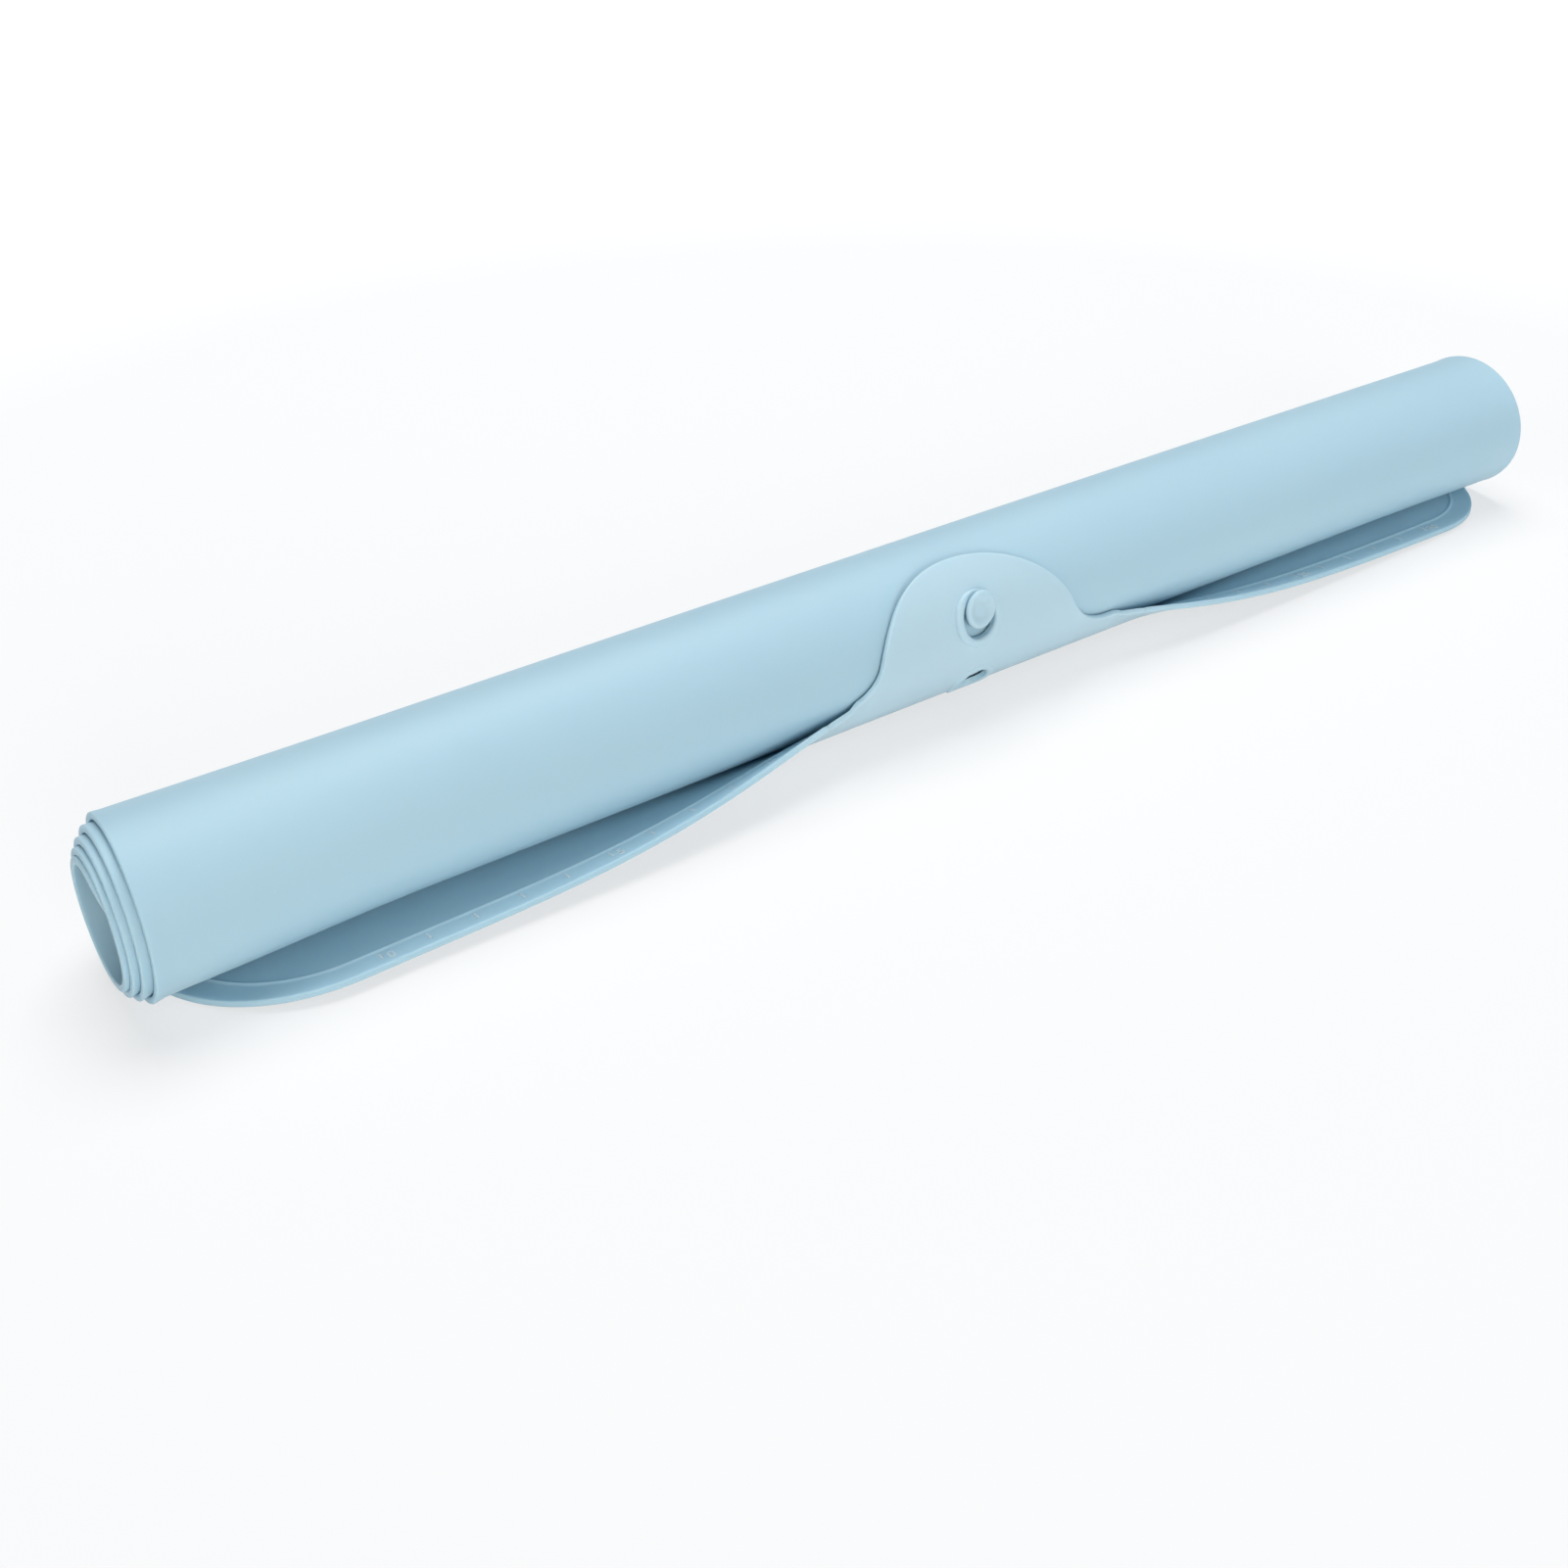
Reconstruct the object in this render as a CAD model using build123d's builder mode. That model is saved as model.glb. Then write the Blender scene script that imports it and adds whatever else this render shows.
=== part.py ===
from build123d import *
import math
import os

# Rolled silicone baking mat, lying on a table and held by a tongue buttoned over a stud.
# Millimetres. X runs along the roll, +Y is the back of the roll, +Z is up.
# The origin is on the table, below the roll's axis, at the middle of its length.

# The moulded sheet
mat_width = 372.0              # side of the mat that lies along the roll
sheet_thickness = 1.1
corner_radius = 27.0           # the mat's four rounded corners
overrun = 5.0                  # how far a cutting shape passes what it cuts

# How the sheet is wound, from the free end inside to the table line
core_radius = 10.87            # middle of the sheet, where it first crosses over the top
inner_gap = 0.24               # air between laps at the core
outer_gap = 0.62               # air between laps at the outside
half_turns = 9                 # from the first crossing to the table line
free_end_angle = 15.0          # the free end stands this far above the front
first_turn_shift = 3.9         # the laps telescope: sideways shift of the first turn inwards
shift_slowing = 0.38           # how much each further turn shifts less
flat_depth = 0.25              # the roll's own weight flattens its underside
foot_run = 3.3                 # flat sheet in front of the table line

# The last lap, the flap that opens towards the viewer
flap_gap = 0.6                 # air between the flap and the lap below it
flap_reach = 22.9              # along the sheet, from the table line to the mat's edge
hugging_half_width = 40.0      # the flap follows the roll this far each side of the tongue
wing_length = 86.0             # outer stretch of the flap that flexes by itself
bend_gap = 0.3                 # clear space where the sheet is divided at a bend
station_share = (0.0, 0.10, 0.22, 0.41, 0.68, 1.0)        # along the open part of the flap
left_curl_share = (1.0, 0.79, 0.535, 0.267, 0.15, 0.117)   # of the hugging curl, there
right_curl_share = (1.0, 0.75, 0.50, 0.24, 0.092, 0.05)
left_edge_drop = (0.0, -0.7, -1.0, -1.5, -2.1, -2.9)           # how much less the flap reaches, there
right_edge_drop = (0.0, 1.1, 1.4, 1.85, 2.5, 3.3)

# Border bead and ruler, raised on the face that lies upwards on the flap
bead_inset = 5.5               # from the mat's edge to the middle of the bead
bead_width = 0.9
bead_height = 0.3
tick_spacing = 10.0
tick_count = 31
tick_width = 0.6
tick_length = 2.4
tick_height = 0.25
tick_inset = 3.1               # from the mat's edge to the middle of a tick

# The closing tongue
tongue_radius = 29.3           # its round end
tongue_sink = 3.4              # the middle of the round end lies this far inside the mat's edge
tongue_fillet = 9.5            # the hollow where it runs into the edge
tongue_lean = 0.093            # sideways run of its middle line for each unit along the sheet
tongue_bend = 27.2             # along the sheet, from the table line to the tongue's bend
tongue_side_step = -2.8        # sideways place of the lower hole on the flap

# The two moulded holes with raised rims, and the stud
hole_radius = 4.75
rim_radius = 6.15
rim_height = 0.8
lower_hole_reach = 16.8        # along the sheet, from the table line
upper_hole_reach = 35.0
stud_tilt = 13.0               # the stud points this far below the hole's own axis
stem_radius = 2.9
head_radius = 4.0
head_thickness = 1.5
head_proud = 0.9               # the head stands above the rim
dish_radius = 2.9
dish_depth = 0.45
head_round = 0.4

# Worked out from these
half_sheet = sheet_thickness / 2
half_width = mat_width / 2


def crossing_radius(index):
    """Distance from the axis to the sheet's middle, at each crossing above or below the axis."""
    radius = core_radius
    step = 1 if index > 0 else -1
    for turn in range(0, index, step):
        gap = inner_gap + (outer_gap - inner_gap) * turn / half_turns
        radius += step * (sheet_thickness + gap) / 2
    return radius


axis_height = half_sheet - flat_depth + crossing_radius(half_turns)


def crossing_height(index):
    """Height of the sheet's middle at a crossing: even ones are on top, odd ones below."""
    side = 1 if index % 2 == 0 else -1
    return axis_height + side * crossing_radius(index)


def crossing_shift(index):
    """How far the sheet has moved to the left at a crossing."""
    turns = (half_turns - index) / 2
    return first_turn_shift * turns - shift_slowing * turns * turns


def end_plane(index, side):
    """The slanting plane that ends one half turn, on the left (side -1) or the right (side 1)."""
    start_x = side * half_width - crossing_shift(index)
    end_x = side * half_width - crossing_shift(index + 1)
    rise = crossing_height(index + 1) - crossing_height(index)
    outward = side if rise > 0 else -side
    normal = Vector(rise, 0, start_x - end_x) * outward
    return Plane(origin=(start_x, 0, crossing_height(index)), x_dir=(0, 1, 0), z_dir=normal)


def half_turn(index):
    """Half a lap of the sheet, from one crossing to the next, behind or in front of the axis."""
    heights = (crossing_height(index), crossing_height(index + 1))
    middle = sum(heights) / 2
    radius = abs(heights[0] - heights[1]) / 2
    outer = radius + half_sheet
    align = Align.MIN if index % 2 == 0 else Align.MAX
    with BuildPart() as lap:
        with BuildSketch(Plane.YZ):
            with Locations((0, middle)):
                Circle(outer)
                Circle(radius - half_sheet, mode=Mode.SUBTRACT)
                Rectangle(outer, 2 * outer, align=(align, Align.CENTER), mode=Mode.INTERSECT)
        extrude(amount=half_width + crossing_shift(0) + overrun, both=True)
        split(bisect_by=end_plane(index, -1), keep=Keep.BOTTOM)
        split(bisect_by=end_plane(index, 1), keep=Keep.BOTTOM)
    return lap.part


def free_end():
    """The short first stretch inside the roll."""
    with BuildPart() as end:
        add(half_turn(-1))
        lift = Plane(origin=(0, 0, axis_height), x_dir=(1, 0, 0), z_dir=(0, 0, 1))
        split(bisect_by=lift.rotated((-free_end_angle, 0, 0)), keep=Keep.TOP)
    return end.part


def inner_corners():
    """What is cut off the first laps to round the mat's two corners inside the roll."""
    near = crossing_radius(0) * math.cos(math.radians(free_end_angle))
    with BuildPart() as cutter:
        with BuildSketch(Plane.XY.offset(axis_height)):
            for side in (-1, 1):
                edge_x = side * half_width - crossing_shift(0)
                align = (Align.MIN if side > 0 else Align.MAX, Align.MAX)
                with Locations((edge_x - side * corner_radius, corner_radius - near)):
                    Rectangle(corner_radius + overrun, corner_radius + overrun, align=align)
                    Circle(corner_radius, mode=Mode.SUBTRACT)
        extrude(amount=2 * core_radius)
    return cutter.part


# The rolled sheet: nine half turns, the free end inside and the flat run on the table
with BuildPart() as rolled_sheet:
    add(half_turn(0))
    add(free_end())
    add(inner_corners(), mode=Mode.SUBTRACT)
    for lap_index in range(1, half_turns):
        add(half_turn(lap_index))
    with Locations((0, 0, -flat_depth)):
        Box(mat_width, foot_run, sheet_thickness, align=(Align.CENTER, Align.MAX, Align.MIN))
    Box(2 * mat_width, 4 * core_radius, 2 * core_radius, align=(Align.CENTER, Align.CENTER, Align.MAX),
        mode=Mode.SUBTRACT)

# The hugging stretch of the flap follows the lap below it at a steady gap
under_lap = half_turns - 2
lap_middle = (crossing_height(under_lap) + crossing_height(under_lap + 1)) / 2
lap_radius = (crossing_height(under_lap + 1) - crossing_height(under_lap)) / 2 + half_sheet
hug_radius = lap_radius + flap_gap + half_sheet
hug_middle = half_sheet + hug_radius
flap_start = foot_run + bend_gap
tongue_tip = flap_reach - tongue_sink + tongue_radius
tongue_middle = (flap_reach + tongue_tip) / 2
wing_line = half_width - wing_length
layer_depth = half_sheet / 2   # raised details are rooted this deep in the sheet


def flap_point(curl, reach, depth):
    """Place (y, z) on the flap, by its curl, the way along it and the height above its middle."""
    radius = 1 / curl
    turn = reach * curl
    return (-(radius - depth) * math.sin(turn),
            half_sheet + radius - (radius - depth) * math.cos(turn))


def flap_section(x, curl, start, end, low, high):
    """Cross-section of a layer of the flap at one place along the roll."""
    middle = (start + end) / 2
    with BuildSketch(Plane.YZ.offset(x)) as section:
        with BuildLine():
            ThreePointArc(*(flap_point(curl, reach, low) for reach in (start, middle, end)))
            Line(flap_point(curl, end, low), flap_point(curl, end, high))
            ThreePointArc(*(flap_point(curl, reach, high) for reach in (end, middle, start)))
            Line(flap_point(curl, start, high), flap_point(curl, start, low))
        make_face()
    return section.sketch


def flap_layer(near, far, low, high):
    """A layer of the whole flap, between two distances inside the mat's edge.

    It hugs the roll in the middle and opens towards both ends. Without a near distance it starts
    where the flap does.
    """
    curl = 1 / hug_radius
    open_length = half_width - hugging_half_width
    first = flap_start if near is None else flap_reach - near
    with BuildPart() as layer:
        add(flap_section(-hugging_half_width, curl, first, flap_reach - far, low, high))
        extrude(amount=2 * hugging_half_width, dir=(1, 0, 0))
        for side, shares, drops in ((-1, left_curl_share, left_edge_drop),
                                    (1, right_curl_share, right_edge_drop)):
            for station, share, drop in zip(station_share, shares, drops):
                x = side * (hugging_half_width + open_length * station)
                start = flap_start if near is None else first - drop
                add(flap_section(x, curl * share, start, flap_reach - far - drop, low, high))
            loft()
    return layer.part


def rounded_corner(side, shares, drops):
    """What is cut off a wing to round the mat's corner."""
    edge_y = flap_point(shares[-1] / hug_radius, flap_reach - drops[-1], 0)[0]
    centre = (side * (half_width - corner_radius), edge_y + corner_radius)
    align = (Align.MIN if side > 0 else Align.MAX, Align.MAX)
    with BuildPart() as cutter:
        with BuildSketch():
            with Locations(centre):
                Rectangle(corner_radius + overrun, corner_radius + overrun, align=align)
                Circle(corner_radius, mode=Mode.SUBTRACT)
        extrude(amount=2 * core_radius)
    return cutter.part


def flap_side(reach):
    """Sideways place of the tongue's middle line, which leans to the left."""
    return tongue_side_step - tongue_lean * (reach - lower_hole_reach)


def facing_plane(x, reach):
    """Plane through the hugging flap's axis, that faces outwards at a place along the sheet."""
    turn = reach / hug_radius
    outward = (0, -math.sin(turn), -math.cos(turn))
    return Plane(origin=(x, 0, hug_middle), x_dir=(1, 0, 0), z_dir=outward)


def tongue_outline():
    """The tongue's outline, as seen square on: a round end with a hollow on each side."""
    rise = tongue_sink + tongue_fillet
    base = math.sqrt((tongue_radius + tongue_fillet)**2 - rise**2)
    lift = math.degrees(math.atan2(rise, base))
    flat = []
    for degrees in (270, 247, 224, 180 + lift):
        turn = math.radians(degrees)
        flat.append((base + tongue_fillet * math.cos(turn),
                     tongue_fillet + tongue_fillet * math.sin(turn)))
    for step in range(1, 5):
        turn = math.radians(lift + (90 - lift) * step / 4)
        flat.append((tongue_radius * math.cos(turn),
                     tongue_radius * math.sin(turn) - tongue_sink))
    flat += [(-x, along) for x, along in reversed(flat[:-1])]
    points = []
    for x, along in flat:
        reach = flap_reach + along
        height = hug_radius * math.sin((reach - tongue_middle) / hug_radius)
        points.append((x + flap_side(reach), height))
    with BuildPart() as outline:
        with BuildSketch(facing_plane(0, tongue_middle)):
            with BuildLine():
                Spline(*points, tangents=((-1, 0), (-1, 0)))
                low = points[0][1] - overrun
                Polyline(points[-1], (points[-1][0], low), (points[0][0], low), points[0])
            make_face()
        extrude(amount=hug_radius + overrun)
    return outline.part


def hugging_layer(start, end, low, high):
    """A layer of sheet that follows the roll, wide enough for the tongue."""
    with BuildPart() as layer:
        add(flap_section(-hugging_half_width - overrun, 1 / hug_radius, start, end, low, high))
        extrude(amount=2 * (hugging_half_width + overrun), dir=(1, 0, 0))
    return layer.part


def eyelet_hole(reach):
    """What is cut through the flap for one of its two holes."""
    with BuildPart() as hole:
        with BuildSketch(facing_plane(flap_side(reach), reach)):
            Circle(hole_radius)
        extrude(amount=hug_radius + overrun)
    return hole.part


def eyelet_rim(reach):
    """The raised rim that stands on the flap's outer face round a hole."""
    outer = hug_radius + half_sheet
    with BuildPart() as rim:
        with BuildSketch(facing_plane(flap_side(reach), reach)):
            Circle(rim_radius)
            Circle(hole_radius, mode=Mode.SUBTRACT)
        extrude(amount=outer + overrun)
        with BuildSketch(Plane.YZ.offset(flap_side(reach))):
            with Locations((0, hug_middle)):
                Circle(outer + rim_height)
                Circle(outer, mode=Mode.SUBTRACT)
        extrude(amount=2 * rim_radius, both=True, mode=Mode.INTERSECT)
    return rim.part


def ruler_ticks():
    """The ruler's raised ticks, which follow the flap's upper face."""
    with BuildPart() as places:
        with GridLocations(tick_spacing, 0, tick_count, 1):
            Box(tick_width, 4 * core_radius, 4 * core_radius)
    with BuildPart() as ticks:
        add(flap_layer(tick_inset + tick_length / 2, tick_inset - tick_length / 2,
                       half_sheet - layer_depth, half_sheet + tick_height))
        add(places.part, mode=Mode.INTERSECT)
    return ticks.part


def tongue_sheet(start, end):
    """A stretch of the tongue's sheet, cut to its outline."""
    with BuildPart() as stretch:
        add(hugging_layer(start, end, -half_sheet, half_sheet))
        add(tongue_outline(), mode=Mode.INTERSECT)
    return stretch.part


# The whole flap sheet, with its border bead and its ruler's ticks
with BuildPart() as flap:
    add(flap_layer(None, 0, -half_sheet, half_sheet))
    add(flap_layer(bead_inset + bead_width / 2, bead_inset - bead_width / 2,
                   half_sheet - layer_depth, half_sheet + bead_height))
    add(ruler_ticks())

# The middle of the flap, up to the tongue's bend, with the lower hole
with BuildPart() as flap_middle:
    add(flap.part)
    split(bisect_by=Plane.YZ.offset(-wing_line), keep=Keep.TOP)
    split(bisect_by=Plane.YZ.offset(wing_line), keep=Keep.BOTTOM)
    add(tongue_sheet(flap_reach - half_sheet, tongue_bend - bend_gap / 2))
    add(eyelet_hole(lower_hole_reach), mode=Mode.SUBTRACT)

# The wings, which flex by themselves at the table line
with BuildPart() as left_wing:
    add(flap.part)
    split(bisect_by=Plane.YZ.offset(-wing_line - bend_gap), keep=Keep.BOTTOM)
    add(rounded_corner(-1, left_curl_share, left_edge_drop), mode=Mode.SUBTRACT)

with BuildPart() as right_wing:
    add(flap.part)
    split(bisect_by=Plane.YZ.offset(wing_line + bend_gap), keep=Keep.TOP)
    add(rounded_corner(1, right_curl_share, right_edge_drop), mode=Mode.SUBTRACT)

# The tongue that folds up over the roll, with the upper hole
with BuildPart() as closing_tongue:
    add(tongue_sheet(tongue_bend + bend_gap / 2, tongue_tip + overrun))
    add(eyelet_hole(upper_hole_reach), mode=Mode.SUBTRACT)

# The raised rims of the two holes
with BuildPart() as lower_rim:
    add(eyelet_rim(lower_hole_reach))

with BuildPart() as upper_rim:
    add(eyelet_rim(upper_hole_reach))

# The stud that the tongue is buttoned over: a stem on the lap below and a dished head
hole_facing = facing_plane(flap_side(upper_hole_reach), upper_hole_reach).offset(hug_radius)
stud_plane = Plane(origin=hole_facing.origin, x_dir=(1, 0, 0),
                   z_dir=hole_facing.z_dir.rotate(Axis.X, stud_tilt))
head_top = half_sheet + rim_height + head_proud
stem_depth = half_sheet + flap_gap + stem_radius

with BuildPart() as closing_stud:
    with BuildSketch(stud_plane.offset(-stem_depth)):
        Circle(stem_radius)
    extrude(amount=stem_depth + head_top - head_thickness)
    with BuildSketch(Plane.YZ.offset(hole_facing.origin.X)):
        with Locations((0, lap_middle)):
            Circle(lap_radius)
    extrude(amount=2 * stem_radius, both=True, mode=Mode.SUBTRACT)
    with BuildSketch(stud_plane.offset(head_top - head_thickness)):
        Circle(head_radius)
    extrude(amount=head_thickness)
    fillet(edges().group_by(Axis(stud_plane.origin, stud_plane.z_dir))[-1], head_round)
    with BuildSketch(stud_plane.offset(head_top)):
        Circle(dish_radius)
    extrude(amount=-dish_depth, mode=Mode.SUBTRACT)

if __name__ == "__main__":
    os.makedirs("parts", exist_ok=True)
    pieces = {
        "rolled_sheet": rolled_sheet, "flap_middle": flap_middle, "left_wing": left_wing,
        "right_wing": right_wing, "closing_tongue": closing_tongue, "lower_rim": lower_rim,
        "upper_rim": upper_rim, "closing_stud": closing_stud,
    }
    for name, piece in pieces.items():
        piece.part.label = name
        export_step(piece.part, f"parts/{name}.step")
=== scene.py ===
"""Looks of a silicone baking mat that is rolled up and closed by its own tongue and stud.

Metres, in the part's own frame: X along the roll, +Y towards its back, +Z up. The origin is on
the table, below the roll's axis, at the middle of the mat's side. A place on the sheet is given
by x along the roll, the reach along the sheet from the table line, and the depth through the
sheet: below zero towards its outer face, above zero towards the face that lies inwards.
"""

import logging
import math
from dataclasses import dataclass, field
from enum import Enum
from typing import Iterable, Sequence

import bmesh
import bpy
import numpy as np
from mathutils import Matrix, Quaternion, Vector
from mathutils.geometry import delaunay_2d_cdt

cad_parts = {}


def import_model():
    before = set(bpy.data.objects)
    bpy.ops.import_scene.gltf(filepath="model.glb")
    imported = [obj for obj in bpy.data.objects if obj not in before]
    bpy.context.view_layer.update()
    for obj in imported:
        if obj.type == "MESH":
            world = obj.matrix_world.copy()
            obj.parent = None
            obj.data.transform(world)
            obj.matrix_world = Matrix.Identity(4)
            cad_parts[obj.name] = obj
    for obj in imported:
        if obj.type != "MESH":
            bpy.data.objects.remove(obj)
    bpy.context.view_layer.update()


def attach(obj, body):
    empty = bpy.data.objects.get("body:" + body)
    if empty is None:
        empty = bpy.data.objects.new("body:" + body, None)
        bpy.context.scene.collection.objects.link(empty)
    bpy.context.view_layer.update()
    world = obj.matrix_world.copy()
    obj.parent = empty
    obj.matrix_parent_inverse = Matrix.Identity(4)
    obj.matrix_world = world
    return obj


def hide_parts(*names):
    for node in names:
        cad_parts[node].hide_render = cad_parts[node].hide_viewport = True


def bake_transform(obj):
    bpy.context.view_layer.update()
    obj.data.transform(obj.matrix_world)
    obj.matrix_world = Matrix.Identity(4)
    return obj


LOG = logging.getLogger("baking_mat")
MM = 0.001
SHARP_ANGLE = math.radians(50)
Point2 = tuple[float, float]
Point3 = tuple[float, float, float]


class Side(Enum):
    """The two ends of the roll, by the sign of x."""

    LEFT = -1
    RIGHT = 1


class Slot(Enum):
    """The record's material slots."""

    SHEET = "silicone_sheet"
    TONGUE = "silicone_tongue"
    FITTINGS = "silicone_fittings"


def ease(share: float) -> float:
    """Runs smoothly from 0 to 1 as its share does."""
    share = min(max(share, 0.0), 1.0)
    return share * share * (3 - 2 * share)


@dataclass(frozen=True)
class MatSheet:
    """The flat mat as it leaves the mould."""

    width: float = 372 * MM
    thickness: float = 1.1 * MM
    corner_radius: float = 27 * MM
    edge_round: float = 0.32 * MM
    lip_height: float = 0.14 * MM
    lip_width: float = 2.6 * MM
    bead_inset: float = 5.5 * MM
    bead_half_width: float = 0.62 * MM
    bead_height: float = 0.34 * MM

    @property
    def half(self) -> float:
        """Half the sheet's thickness."""
        return self.thickness / 2

    def edge_half(self, distance: float) -> float:
        """Half thickness near a moulded edge, which is rounded over.

        Args:
            distance: how far the place lies inside the edge.

        Returns:
            Half the thickness of the sheet there.
        """
        full = self.half + self.lip_height * (1 - ease(distance / self.lip_width))
        if distance >= self.edge_round:
            return full
        missing = self.edge_round - max(distance, 0.0)
        return full - self.edge_round + math.sqrt(self.edge_round**2 - missing**2)

    def bead(self, distance: float) -> float:
        """Height of the border bead at a distance from its middle line.

        Args:
            distance: how far the place lies from the middle line.

        Returns:
            The bead's height there.
        """
        if distance >= self.bead_half_width:
            return 0.0
        return self.bead_height * math.cos(math.pi / 2 * distance / self.bead_half_width) ** 2


@dataclass(frozen=True)
class FlapSide:
    """How one end of the flap opens away from the roll."""

    open_curl: float
    slow: float
    fast: float
    half_width: float
    corner_radius: float

    def share(self, distance: float) -> float:
        """How much of the hugging reach is left at a distance from the hugging stretch."""
        return math.exp(-(self.slow * distance + self.fast * distance**2))


@dataclass(frozen=True)
class Flap:
    """The last lap of the mat: it hugs the roll in the middle and opens towards both ends.

    Its cross-section hugs the roll up to some reach and is almost straight from there on. The
    laps telescope, so the mat's edge runs out of true. Places on the flap are given by x and by
    the distance past the mat's edge: below zero on the mat, above zero on the tongue.
    """

    sheet: MatSheet
    hug_radius: float = 18.112 * MM
    hugging_half_width: float = 29 * MM
    middle_reach: float = 22.9 * MM
    skew: float = 0.0165
    tongue_hug: float = 27 * MM
    tongue_half_width: float = 30 * MM
    tongue_fade: float = 10 * MM
    arch: float = 0.5 * MM
    arch_half_width: float = 170 * MM
    wave: float = 0.7 * MM
    wave_place: float = -97 * MM
    wave_half_width: float = 50 * MM
    left: FlapSide = FlapSide(open_curl=6.56, slow=27.65, fast=120.0,
                              half_width=188.25 * MM, corner_radius=32 * MM)
    right: FlapSide = FlapSide(open_curl=2.4, slow=30.3, fast=40.0,
                               half_width=184.2 * MM, corner_radius=29 * MM)

    def side(self, x: float) -> FlapSide:
        """The end of the flap that a place belongs to."""
        return self.left if x < 0 else self.right

    def reach(self, x: float) -> float:
        """The way along the sheet from the table line to the mat's edge."""
        away = min(abs(x - self.wave_place) / self.wave_half_width, 1.0)
        return self.middle_reach - self.skew * x + self.wave * (1 - ease(away))

    def hugging_reach(self, x: float) -> float:
        """The way along the sheet up to which it hugs the roll.

        Args:
            x: place along the roll.

        Returns:
            The reach at which the sheet leaves the roll.
        """
        distance = max(abs(x) - self.hugging_half_width, 0.0)
        held = self.tongue_hug * (1 - ease((abs(x) - self.tongue_half_width) / self.tongue_fade))
        return self.reach(x) * self.side(x).share(distance) + held

    def lift(self, x: float) -> float:
        """How far the roll arches up off the table, between its two ends."""
        return self.arch * max(0.0, 1 - (x / self.arch_half_width) ** 2)

    def lay(self, x: float, reach: float, depth: float) -> Point3:
        """Where a place on the flap lies, by its reach from the table line.

        Args:
            x: place along the roll.
            reach: way along the sheet from the table line.
            depth: distance from the sheet's middle, above zero towards the roll.

        Returns:
            The place in metres.
        """
        hugging = min(reach, self.hugging_reach(x))
        leaving = hugging / self.hug_radius
        curl = self.side(x).open_curl
        angle = leaving + (reach - hugging) * curl
        along = self.hug_radius * math.sin(leaving) + (math.sin(angle) - math.sin(leaving)) / curl
        up = self.hug_radius * (1 - math.cos(leaving))
        up += (math.cos(leaving) - math.cos(angle)) / curl
        return (x, depth * math.sin(angle) - along,
                self.sheet.half + self.lift(x) + up + depth * math.cos(angle))

    def place(self, x: float, past: float, depth: float) -> Point3:
        """Where a place on the flap lies, by its distance past the mat's edge."""
        return self.lay(x, self.reach(x) + past, depth)


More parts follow.
